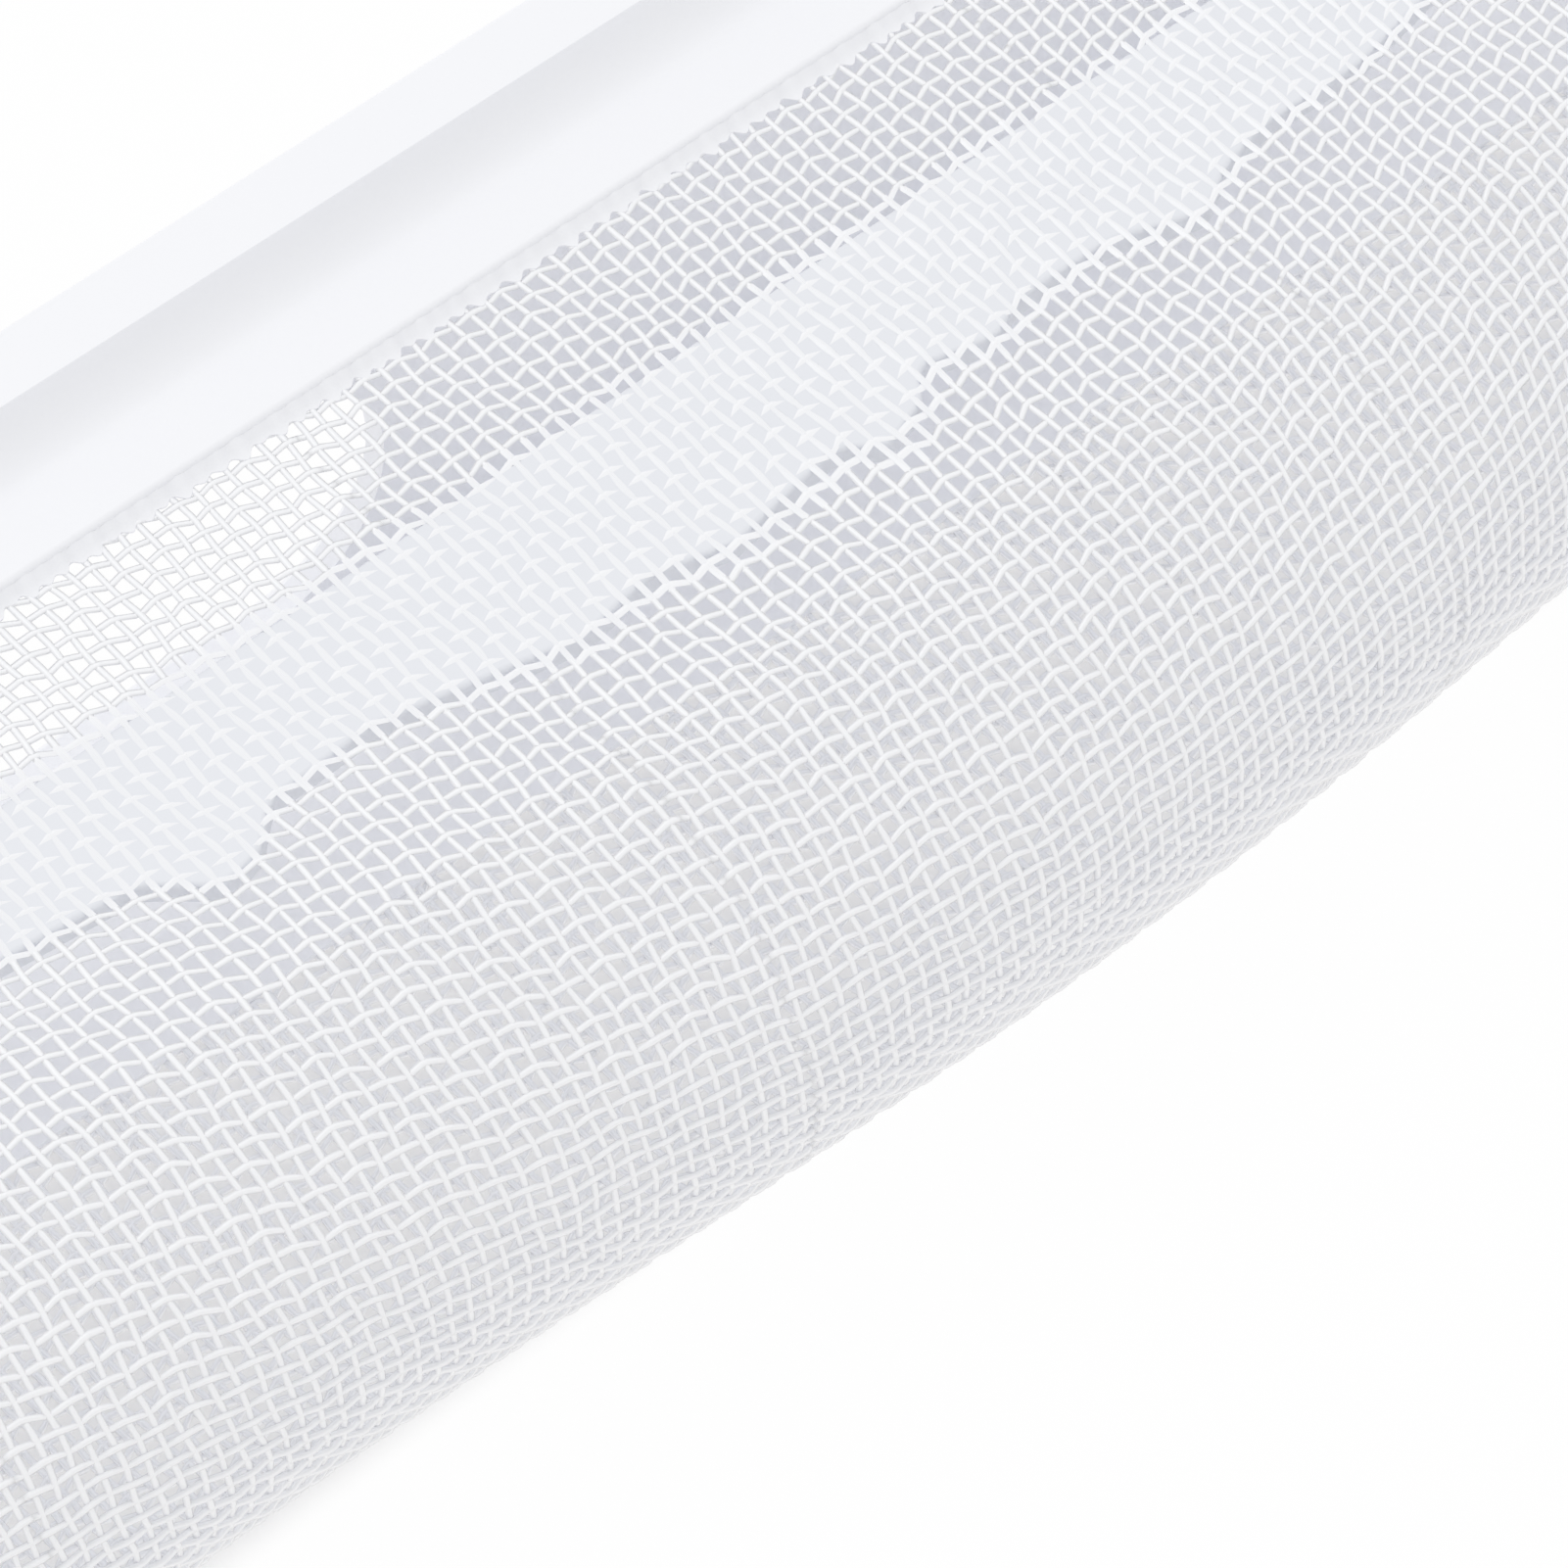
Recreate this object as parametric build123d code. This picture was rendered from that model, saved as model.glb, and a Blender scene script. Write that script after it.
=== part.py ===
from build123d import *
import math
import os

# Pocket lint filter for a tumble dryer: a moulded body, a toothed stiffening strip and a woven mesh.
# The filter lies on its back. X runs along the rail, the mouth wall is at +Y, the rounded mesh nose
# at -Y and the front of the pocket faces +Z. The origin is under the middle of the part, on the
# surface that it lies on. All sizes are in millimetres.

os.makedirs("parts", exist_ok=True)

# Overall sizes
body_length = 240.0
pocket_depth = 45.0
pocket_thickness = 28.0
wall = 1.8
cheek_wall = 2.0
cheek_edge_break = 0.6
corner_radius = 1.8
inner_corner_radius = 0.9
fullest_round = 0.49  # share of a thickness that a round may take up

# Rail along the front edge of the mouth wall
lip_overhang = 1.2
lip_width = 3.7
lip_thickness = 3.3
lip_edge_round = 0.5
cove_radius = 2.7
face_width = 3.4
cover_thickness = 0.6
weld_land = 0.8
jaw_thickness = 1.5
jaw_setback = 0.8

# Back panel and the mouths beside the grip
back_panel_depth = 17.0
panel_taper = 5.0
panel_tip = 0.3
grip_web = 58.0
mouth_end_margin = 15.0
mouth_sill = 0.2
mouth_head = 6.8
mouth_corner = 8.0
mouth_edge_break = 0.4

# Finger grip on the web between the mouths
grip_reach = 3.0
grip_length = 34.0
grip_thickness = 2.6
grip_height = 10.0
grip_edge_break = 0.8
grip_end_round = 2.4

# Land inside each end cheek that the mesh is welded to
land_width = 3.0
land_thickness = 1.2

# Stiffening strip inside the mesh
strip_thickness = 1.2
strip_width = 7.8
strip_gap = 7.7
tooth_start_x = -59.2
tooth_repeat = 84.0
tooth_height = 3.0
tooth_round = 0.5
tooth_profile = (  # shares of the repeat along the strip and of the height towards the nose
    (0.000, 0.00),
    (0.033, 0.80),
    (0.060, 0.67),
    (0.083, 0.07),
    (0.152, 0.00),
    (0.270, 0.77),
    (0.319, 0.53),
    (0.368, 0.90),
    (0.448, 0.53),
    (0.471, 1.00),
    (0.504, 0.70),
    (0.519, 0.17),
    (0.565, 0.50),
    (0.588, 0.17),
    (0.655, 0.23),
    (0.708, 0.77),
    (0.739, 0.30),
    (0.774, 0.07),
    (0.845, 0.13),
    (0.917, -0.25),
)

# Woven mesh, drawn as a ridged wall with a chequer of gaps
mesh_thickness = 0.6
web_thickness = 0.36
mesh_lap = 3.0
thread_ridge = 1.2
front_rows = 4
nose_rows = 6
back_rows = 2
mesh_columns = 20

# Places that follow from the sizes
mouth_wall_y = (pocket_depth - grip_reach) / 2
mouth_wall_inner_y = mouth_wall_y - wall
nose_radius = pocket_thickness / 2
nose_axis_y = mouth_wall_y - pocket_depth + nose_radius
nose_axis_z = nose_radius
half_length = body_length / 2
mesh_half_length = half_length - cheek_wall

mesh_top = pocket_thickness
mesh_under = pocket_thickness - mesh_thickness
face_z = mesh_top + cover_thickness
lip_z = face_z + cove_radius
lip_outer_y = mouth_wall_y + lip_overhang
lip_inner_y = lip_outer_y - lip_width
cove_end_y = lip_inner_y - cove_radius
cover_end_y = cove_end_y - face_width
slot_end_y = cover_end_y + mesh_lap
land_end_y = cover_end_y - weld_land
jaw_end_y = cover_end_y + jaw_setback
jaw_under_z = mesh_under - jaw_thickness
lip_under_z = lip_z - lip_thickness

panel_end_y = mouth_wall_y - back_panel_depth
panel_lap_y = panel_end_y + mesh_lap

strip_rear_y = land_end_y - strip_gap
strip_front_y = strip_rear_y - strip_width
strip_half_length = mesh_half_length - land_width
cutter_reach = 4 * mesh_thickness  # how far a shape that divides the mesh stands out of it


def corners_near(shape, points):
    """Returns the corner of a flat shape that lies nearest to each (y, z) point."""
    return [min(shape.vertices(), key=lambda v: math.hypot(v.X - y, v.Y - z)) for y, z in points]


def along_x(section, length, middle=0.0):
    """Runs a (y, z) section along X by a length about a middle."""
    return Pos(middle, 0, 0) * extrude(Plane.YZ * section, amount=length / 2, both=True)


def pocket_outline(inset, rear_y):
    """Returns the pocket's closed section, inset from the mesh's outer face and ended at rear_y."""
    radius = nose_radius - inset
    low = (nose_axis_y, nose_axis_z - radius)
    high = (nose_axis_y, nose_axis_z + radius)
    nose = ThreePointArc(high, (nose_axis_y - radius, nose_axis_z), low)
    sides = Polyline(low, (rear_y, low[1]), (rear_y, high[1]), high)
    return make_face([nose, sides])


def pocket_layer(outer_inset, inner_inset, front_rear_y, back_rear_y):
    """Returns the section of a layer that runs round the nose between two insets."""
    outer = nose_radius - outer_inset
    inner = nose_radius - inner_inset
    outer_nose = ThreePointArc(
        (nose_axis_y, nose_axis_z + outer),
        (nose_axis_y - outer, nose_axis_z),
        (nose_axis_y, nose_axis_z - outer),
    )
    inner_nose = ThreePointArc(
        (nose_axis_y, nose_axis_z + inner),
        (nose_axis_y - inner, nose_axis_z),
        (nose_axis_y, nose_axis_z - inner),
    )
    front_end = Polyline(
        outer_nose @ 0,
        (front_rear_y, nose_axis_z + outer),
        (front_rear_y, nose_axis_z + inner),
        inner_nose @ 0,
    )
    back_end = Polyline(
        outer_nose @ 1,
        (back_rear_y, nose_axis_z - outer),
        (back_rear_y, nose_axis_z - inner),
        inner_nose @ 1,
    )
    return make_face([outer_nose, front_end, inner_nose, back_end])


def body_section():
    """Returns the section of the rail, the mouth wall and the back panel, as one moulding."""
    cove = ThreePointArc(
        (lip_inner_y, lip_z),
        (cove_end_y + cove_radius * math.sin(math.pi / 4), lip_z - cove_radius * math.cos(math.pi / 4)),
        (cove_end_y, face_z),
    )
    rest = Polyline(
        (cove_end_y, face_z),
        (cover_end_y, face_z),
        (cover_end_y, mesh_top),
        (slot_end_y, mesh_top),
        (slot_end_y, mesh_under),
        (jaw_end_y, mesh_under),
        (jaw_end_y, jaw_under_z),
        (mouth_wall_inner_y, jaw_under_z),
        (mouth_wall_inner_y, wall),
        (panel_end_y + panel_taper, wall),
        (panel_end_y, mesh_thickness + panel_tip),
        (panel_end_y, mesh_thickness),
        (panel_lap_y, mesh_thickness),
        (panel_lap_y, 0),
        (mouth_wall_y, 0),
        (mouth_wall_y, lip_under_z),
        (lip_outer_y, lip_under_z),
        (lip_outer_y, lip_z),
        (lip_inner_y, lip_z),
    )
    section = make_face([cove, rest])
    section = fillet(corners_near(section, [(mouth_wall_y, 0)]), corner_radius)
    section = fillet(corners_near(section, [(mouth_wall_inner_y, wall)]), inner_corner_radius)
    section = fillet(corners_near(section, [(mouth_wall_inner_y, jaw_under_z)]), jaw_thickness)
    section = fillet(corners_near(section, [(lip_outer_y, lip_z)]), lip_edge_round)
    section = fillet(corners_near(section, [(cover_end_y, face_z)]), cover_thickness / 2)
    return section


def end_cheek(side):
    """Returns one end cheek with its land, at the end of the body given by the sign of side."""
    outline = pocket_outline(0, mouth_wall_y)
    outline = fillet(corners_near(outline, [(mouth_wall_y, 0)]), corner_radius)
    plate = along_x(outline, cheek_wall, side * (half_length - cheek_wall / 2))
    inner = mesh_thickness + land_thickness
    ring = pocket_layer(mesh_thickness, inner, jaw_end_y, panel_end_y)
    land = along_x(ring, land_width, side * (mesh_half_length - land_width / 2))
    return plate + land


def mouth(side):
    """Returns the cutter of the mouth on one side of the grip."""
    near = grip_web / 2
    far = half_length - mouth_end_margin
    low = max(corner_radius + mouth_edge_break, wall + inner_corner_radius) + mouth_sill
    high = jaw_under_z - mouth_head
    opening = RectangleRounded(far - near, high - low, min(mouth_corner, fullest_round * (high - low)))
    centre = (side * (near + far) / 2, mouth_wall_y - wall / 2, (low + high) / 2)
    plane = Plane(origin=centre, x_dir=(1, 0, 0), z_dir=(0, 1, 0))
    return extrude(plane * opening, amount=wall, both=True)


def finger_grip():
    """Returns the ledge that the filter is pulled out by."""
    depth = grip_reach + wall / 2
    ledge = Box(grip_length, depth, grip_thickness, align=(Align.CENTER, Align.MAX, Align.CENTER))
    ledge = Pos(0, mouth_wall_y + grip_reach, grip_height) * ledge
    ends = ledge.edges().filter_by(Axis.Z).group_by(Axis.Y)[-1]
    ledge = fillet(ends, min(grip_end_round, grip_reach))
    tip = ledge.faces().sort_by(Axis.Y)[-1]
    tip_edges = tip.edges().filter_by(Axis.X)
    return chamfer(tip_edges, min(grip_edge_break, fullest_round * grip_thickness))


def filter_body():
    """Returns the moulded body: rail, mouth wall, back panel, end cheeks and finger grip."""
    body = along_x(body_section(), body_length)
    for side in (-1, 1):
        body += end_cheek(side)
        body -= mouth(side)
    upright_faces = body.faces().filter_by(Axis.Y)
    outer_faces = upright_faces.filter_by(lambda face: abs(face.center().Y - mouth_wall_y) < wall / 10)
    mouth_wall = outer_faces.sort_by(SortBy.AREA)[-1]
    mouth_edges = [edge for wire in mouth_wall.inner_wires() for edge in wire.edges()]
    body = chamfer(mouth_edges, mouth_edge_break)
    round_edges = body.edges().filter_by(GeomType.CIRCLE)
    end_edges = round_edges.filter_by(lambda edge: abs(abs(edge.center().X) - half_length) < cheek_wall / 10)
    cheek_edges = end_edges.filter_by(lambda edge: edge.radius > nose_radius / 2)
    body = chamfer(cheek_edges, cheek_edge_break)
    return body + finger_grip()


def toothed_edge():
    """Returns the points of the strip's uneven edge, from the left end to the right."""
    first = math.floor((-strip_half_length - tooth_start_x) / tooth_repeat)
    last = math.ceil((strip_half_length - tooth_start_x) / tooth_repeat)
    inside = strip_half_length - tooth_height
    points = []
    for turn in range(first, last + 1):
        for along, deep in tooth_profile:
            x = tooth_start_x + tooth_repeat * (turn + along)
            if abs(x) < inside:
                points.append((x, strip_front_y - tooth_height * deep))
    return points


def stiffening_strip():
    """Returns the strip that the mesh lies on, with its row of teeth towards the nose."""
    left = [(-strip_half_length, strip_rear_y), (-strip_half_length, strip_front_y)]
    right = [(strip_half_length, strip_front_y), (strip_half_length, strip_rear_y)]
    outline = make_face(Polyline(*left, *toothed_edge(), *right, close=True))
    teeth = outline.vertices().filter_by(lambda corner: abs(corner.X) < strip_half_length - tooth_height / 2)
    outline = fillet(teeth, tooth_round)
    return Pos(0, 0, mesh_under - strip_thickness) * extrude(outline, amount=strip_thickness)


def row_breaks():
    """Returns each ridge along X as its middle in the section and the way that it faces."""
    front_step = (land_end_y - nose_axis_y) / front_rows
    back_step = (panel_end_y - nose_axis_y) / back_rows
    breaks = [((land_end_y - front_step * row, mesh_top), 90.0) for row in range(front_rows)]
    for row in range(nose_rows + 1):
        turn = 90.0 + 180.0 * row / nose_rows
        across = nose_axis_y + nose_radius * math.cos(math.radians(turn))
        height = nose_axis_z + nose_radius * math.sin(math.radians(turn))
        breaks.append(((across, height), turn))
    breaks += [((nose_axis_y + back_step * row, 0), 270.0) for row in range(1, back_rows + 1)]
    return breaks


def ridge_section(wall_section):
    """Returns the part of the mesh wall's section that is thread ridges and welded edges."""
    ridges = Sketch()
    for (across, height), turn in row_breaks():
        block = Pos(across, height) * Rot(0, 0, turn) * Rectangle(cutter_reach, thread_ridge)
        ridges += wall_section & block
    front_edge = Pos(land_end_y, mesh_top) * Rectangle(
        slot_end_y - land_end_y, cutter_reach, align=(Align.MIN, Align.CENTER)
    )
    back_edge = Pos(panel_end_y, 0) * Rectangle(
        panel_lap_y - panel_end_y, cutter_reach, align=(Align.MIN, Align.CENTER)
    )
    return ridges + (wall_section & front_edge) + (wall_section & back_edge)


def cell_block(row):
    """Returns a flat shape that covers one row of the mesh between two ridges."""
    (start, _), start_turn = row_breaks()[row]
    (end, _), end_turn = row_breaks()[row + 1]
    if row < front_rows:
        return Pos((start + end) / 2, mesh_top) * Rectangle(start - end, cutter_reach)
    if row < front_rows + nose_rows:
        far = 2 * nose_radius
        spokes = [math.radians(turn) for turn in (start_turn, end_turn)]
        ends = [(far * math.cos(turn), far * math.sin(turn)) for turn in spokes]
        return Pos(nose_axis_y, nose_axis_z) * make_face(Polyline((0, 0), *ends, close=True))
    return Pos((start + end) / 2, 0) * Rectangle(end - start, cutter_reach)


def mesh_screen():
    """Returns the mesh: threads both ways as ridges, with every second cell between them open."""
    rows = front_rows + nose_rows + back_rows
    wall_section = pocket_layer(0, mesh_thickness, slot_end_y, panel_lap_y)
    skin = (mesh_thickness - web_thickness) / 2
    web_section = pocket_layer(skin, mesh_thickness - skin, slot_end_y, panel_lap_y)
    ridges = ridge_section(wall_section)
    column_sections = []
    for parity in (0, 1):
        section = ridges
        for row in range(rows):
            if row % 2 != parity:
                section += web_section & cell_block(row)
        column_sections.append(section)
    run = 2 * (mesh_half_length - land_width)
    pitch = (run - thread_ridge) / mesh_columns
    slices = []
    for column in range(mesh_columns):
        middle = -run / 2 + thread_ridge / 2 + pitch * (column + 0.5)
        slices.append(along_x(column_sections[column % 2], pitch - thread_ridge, middle))
    for thread in range(1, mesh_columns):
        middle = -run / 2 + thread_ridge / 2 + pitch * thread
        slices.append(along_x(wall_section, thread_ridge, middle))
    for side in (-1, 1):
        inner = run / 2 - thread_ridge
        middle = side * (inner + mesh_half_length) / 2
        slices.append(along_x(wall_section, mesh_half_length - inner, middle))
    return slices[0].fuse(*slices[1:])


export_step(filter_body(), "parts/filter_body.step")
export_step(stiffening_strip(), "parts/stiffening_strip.step")
export_step(mesh_screen(), "parts/mesh_screen.step")
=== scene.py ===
"""Dresses the pocket lint filter: satin body, toothed strip, welded seam and a screen of real threads."""
import logging
import math
from dataclasses import dataclass
from enum import Enum
from typing import ClassVar

import bmesh
import bpy
import numpy as np
from mathutils import Matrix, Vector

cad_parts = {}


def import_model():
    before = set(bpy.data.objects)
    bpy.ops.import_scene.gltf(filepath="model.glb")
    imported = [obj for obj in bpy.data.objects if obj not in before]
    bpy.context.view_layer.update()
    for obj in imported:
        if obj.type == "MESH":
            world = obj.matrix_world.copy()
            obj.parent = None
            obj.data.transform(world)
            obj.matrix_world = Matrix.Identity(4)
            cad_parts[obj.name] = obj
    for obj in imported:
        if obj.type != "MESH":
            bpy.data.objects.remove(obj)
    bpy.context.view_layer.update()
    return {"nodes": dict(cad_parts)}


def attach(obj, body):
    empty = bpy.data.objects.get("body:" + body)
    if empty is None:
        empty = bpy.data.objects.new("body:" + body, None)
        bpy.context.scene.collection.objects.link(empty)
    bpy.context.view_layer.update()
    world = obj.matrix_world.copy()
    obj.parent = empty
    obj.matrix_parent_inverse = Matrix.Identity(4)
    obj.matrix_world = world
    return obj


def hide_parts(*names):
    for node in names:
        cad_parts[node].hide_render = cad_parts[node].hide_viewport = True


LOG = logging.getLogger("lint_filter")
MM = 0.001
PHOTO_PIXELS = 1601
SENSOR_MM = 36.0


class Lay(Enum):
    """Whether a thread passes over or under the first thread that it crosses."""

    OVER = 1
    UNDER = -1

    def other(self) -> "Lay":
        """Returns the opposite lay."""
        return Lay.UNDER if self is Lay.OVER else Lay.OVER


class Slot(Enum):
    """The record's material slots."""

    BODY = "body_plastic"
    STRIP = "strip_plastic"
    MESH = "mesh_weave"


class NodeTools:
    """Small helpers for shader node trees."""

    @staticmethod
    def fresh(material: bpy.types.Material) -> bpy.types.NodeTree:
        """Empties a material's tree.

        Args:
            material: The material to start afresh.

        Returns:
            Its empty node tree.
        """
        material.use_nodes = True
        material.node_tree.nodes.clear()
        return material.node_tree

    @staticmethod
    def add(tree: bpy.types.NodeTree, kind: str, **values: object) -> bpy.types.Node:
        """Adds a node and sets its properties or unlinked inputs.

        Args:
            tree: The tree that gets the node.
            kind: The node's type name.
            values: Properties by name, or input values by name with spaces as underscores.

        Returns:
            The new node.
        """
        node = tree.nodes.new(kind)
        for name, value in values.items():
            if hasattr(node, name):
                setattr(node, name, value)
            else:
                node.inputs[name.replace("_", " ")].default_value = value
        return node


class GrainGroup:
    """The fine unevenness of moulded plastic, shared by the body and the strip."""

    NAME = "moulded_grain"
    CLOUD_DETAIL = 3.0
    CLOUD_ROUGHNESS = 0.55
    GRAIN_DETAIL = 2.0
    GRAIN_ROUGHNESS = 0.6

    @classmethod
    def tree(cls) -> bpy.types.NodeTree:
        """Makes the node group on first use.

        Returns:
            The group's tree.
        """
        if cls.NAME in bpy.data.node_groups:
            return bpy.data.node_groups[cls.NAME]
        group = bpy.data.node_groups.new(cls.NAME, "ShaderNodeTree")
        face = group.interface
        face.new_socket("Position", in_out="INPUT", socket_type="NodeSocketVector")
        for name in ("Colour", "Cloud Colour"):
            face.new_socket(name, in_out="INPUT", socket_type="NodeSocketColor")
        for name in ("Cloud Scale", "Grain Scale", "Smooth", "Rough"):
            face.new_socket(name, in_out="INPUT", socket_type="NodeSocketFloat")
        face.new_socket("Colour", in_out="OUTPUT", socket_type="NodeSocketColor")
        face.new_socket("Roughness", in_out="OUTPUT", socket_type="NodeSocketFloat")
        face.new_socket("Height", in_out="OUTPUT", socket_type="NodeSocketFloat")
        start = group.nodes.new("NodeGroupInput")
        end = group.nodes.new("NodeGroupOutput")
        cloud = NodeTools.add(group, "ShaderNodeTexNoise")
        cloud.inputs["Detail"].default_value = cls.CLOUD_DETAIL
        cloud.inputs["Roughness"].default_value = cls.CLOUD_ROUGHNESS
        grain = NodeTools.add(group, "ShaderNodeTexNoise")
        grain.inputs["Detail"].default_value = cls.GRAIN_DETAIL
        grain.inputs["Roughness"].default_value = cls.GRAIN_ROUGHNESS
        tint = NodeTools.add(group, "ShaderNodeMix", data_type="RGBA")
        gloss = NodeTools.add(group, "ShaderNodeMapRange")
        link = group.links.new
        link(start.outputs["Position"], cloud.inputs["Vector"])
        link(start.outputs["Position"], grain.inputs["Vector"])
        link(start.outputs["Cloud Scale"], cloud.inputs["Scale"])
        link(start.outputs["Grain Scale"], grain.inputs["Scale"])
        link(cloud.outputs["Fac"], tint.inputs["Factor"])
        link(start.outputs["Colour"], tint.inputs["A"])
        link(start.outputs["Cloud Colour"], tint.inputs["B"])
        link(cloud.outputs["Fac"], gloss.inputs["Value"])
        link(start.outputs["Smooth"], gloss.inputs["To Min"])
        link(start.outputs["Rough"], gloss.inputs["To Max"])
        link(tint.outputs["Result"], end.inputs["Colour"])
        link(gloss.outputs["Result"], end.inputs["Roughness"])
        link(grain.outputs["Fac"], end.inputs["Height"])
        return group


@dataclass(frozen=True)
class PlasticFinish:
    """White moulded plastic with a satin face."""

    name: str
    colour: tuple[float, float, float]
    cloud_colour: tuple[float, float, float]
    smooth: float = 0.32
    rough: float = 0.44
    cloud_scale: float = 60.0
    grain_scale: float = 5200.0
    grain_height_mm: float = 0.004
    ior: float = 1.49

    def material(self) -> bpy.types.Material:
        """Makes the finish's material on first use.

        Returns:
            The material.
        """
        if self.name in bpy.data.materials:
            return bpy.data.materials[self.name]
        material = bpy.data.materials.new(self.name)
        tree = NodeTools.fresh(material)
        place = NodeTools.add(tree, "ShaderNodeTexCoord")
        grain = NodeTools.add(tree, "ShaderNodeGroup", node_tree=GrainGroup.tree())
        grain.inputs["Colour"].default_value = (*self.colour, 1.0)
        grain.inputs["Cloud Colour"].default_value = (*self.cloud_colour, 1.0)
        grain.inputs["Cloud Scale"].default_value = self.cloud_scale
        grain.inputs["Grain Scale"].default_value = self.grain_scale
        grain.inputs["Smooth"].default_value = self.smooth
        grain.inputs["Rough"].default_value = self.rough
        bump = NodeTools.add(tree, "ShaderNodeBump", Distance=self.grain_height_mm * MM)
        shader = NodeTools.add(tree, "ShaderNodeBsdfPrincipled", IOR=self.ior)
        end = NodeTools.add(tree, "ShaderNodeOutputMaterial")
        link = tree.links.new
        link(place.outputs["Object"], grain.inputs["Position"])
        link(grain.outputs["Colour"], shader.inputs["Base Color"])
        link(grain.outputs["Roughness"], shader.inputs["Roughness"])
        link(grain.outputs["Height"], bump.inputs["Height"])
        link(bump.outputs["Normal"], shader.inputs["Normal"])
        link(shader.outputs["BSDF"], end.inputs["Surface"])
        return material


@dataclass(frozen=True)
class ThreadFinish:
    """Glossy white monofilament, with the strip's plastic over it where the strip is bonded on."""

    FILM: ClassVar[str] = "film"
    name: str = "monofilament"
    colour: tuple[float, float, float] = (0.966, 0.972, 0.995)
    pale_colour: tuple[float, float, float] = (0.978, 0.983, 0.999)
    roughness: float = 0.22
    ior: float = 1.53
    change_scale: float = 420.0
    change_detail: float = 2.0
    film_colour: tuple[float, float, float] = (0.875, 0.89, 0.92)
    sheen: float = 0.5
    sheen_roughness: float = 0.35

    def material(self) -> bpy.types.Material:
        """Makes the finish's material on first use.

        Returns:
            The material.
        """
        if self.name in bpy.data.materials:
            return bpy.data.materials[self.name]
        material = bpy.data.materials.new(self.name)
        tree = NodeTools.fresh(material)
        place = NodeTools.add(tree, "ShaderNodeTexCoord")
        change = NodeTools.add(tree, "ShaderNodeTexNoise", Scale=self.change_scale)
        change.inputs["Detail"].default_value = self.change_detail
        tint = NodeTools.add(tree, "ShaderNodeMix", data_type="RGBA")
        tint.inputs["A"].default_value = (*self.colour, 1.0)
        tint.inputs["B"].default_value = (*self.pale_colour, 1.0)
        film = NodeTools.add(tree, "ShaderNodeAttribute", attribute_name=self.FILM)
        cover = NodeTools.add(tree, "ShaderNodeMix", data_type="RGBA")
        cover.inputs["B"].default_value = (*self.film_colour, 1.0)
        shader = NodeTools.add(tree, "ShaderNodeBsdfPrincipled", Roughness=self.roughness, IOR=self.ior)
        shader.inputs["Sheen Weight"].default_value = self.sheen
        shader.inputs["Sheen Roughness"].default_value = self.sheen_roughness
        end = NodeTools.add(tree, "ShaderNodeOutputMaterial")
        link = tree.links.new
        link(place.outputs["Object"], change.inputs["Vector"])
        link(change.outputs["Fac"], tint.inputs["Factor"])
        link(film.outputs["Fac"], cover.inputs["Factor"])
        link(tint.outputs["Result"], cover.inputs["A"])
        link(cover.outputs["Result"], shader.inputs["Base Color"])
        link(shader.outputs["BSDF"], end.inputs["Surface"])
        return material


class Pieces:
    """Turns finished meshes into pieces of the filter."""

    BODY = "root"

    @classmethod
    def add(
        cls, name: str, mesh: bpy.types.Mesh, material: bpy.types.Material, slot: Slot
    ) -> bpy.types.Object:
        """Places a mesh as a piece that goes with the filter.

        Args:
            name: The piece's name.
            mesh: Its mesh, in the filter's frame, in metres.
            material: Its finish.
            slot: The record's material slot; not used.

        Returns:
            The piece.
        """
        mesh.materials.clear()
        mesh.materials.append(material)
        piece = bpy.data.objects.new(name, mesh)
        bpy.context.scene.collection.objects.link(piece)
        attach(piece, cls.BODY)
        LOG.info("%s: %d faces", name, len(mesh.polygons))
        return piece

    @staticmethod
    def coordinates(mesh: bpy.types.Mesh) -> np.ndarray:
        """Reads a mesh's vertex places.

        Args:
            mesh: The mesh to read.

        Returns:
            One row of three for each vertex.
        """
        flat = np.empty(len(mesh.vertices) * 3)
        mesh.vertices.foreach_get("co", flat)
        return flat.reshape(-1, 3)

    @staticmethod
    def values(mesh: bpy.types.Mesh, name: str) -> np.ndarray:
        """Reads a mesh's vertex attribute.

        Args:
            mesh: The mesh to read.
            name: The attribute's name.

        Returns:
            One value for each vertex.
        """
        row = np.empty(len(mesh.vertices))
        mesh.attributes[name].data.foreach_get("value", row)
        return row

    @staticmethod
    def store(mesh: bpy.types.Mesh, name: str, row: np.ndarray) -> None:
        """Sets the values of a mesh's vertex attribute."""
        mesh.attributes[name].data.foreach_set("value", row)

    @staticmethod
    def place(mesh: bpy.types.Mesh, places: np.ndarray) -> None:
        """Moves a mesh's vertices to the places given."""
        mesh.vertices.foreach_set("co", places.reshape(-1))
        mesh.update()


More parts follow.
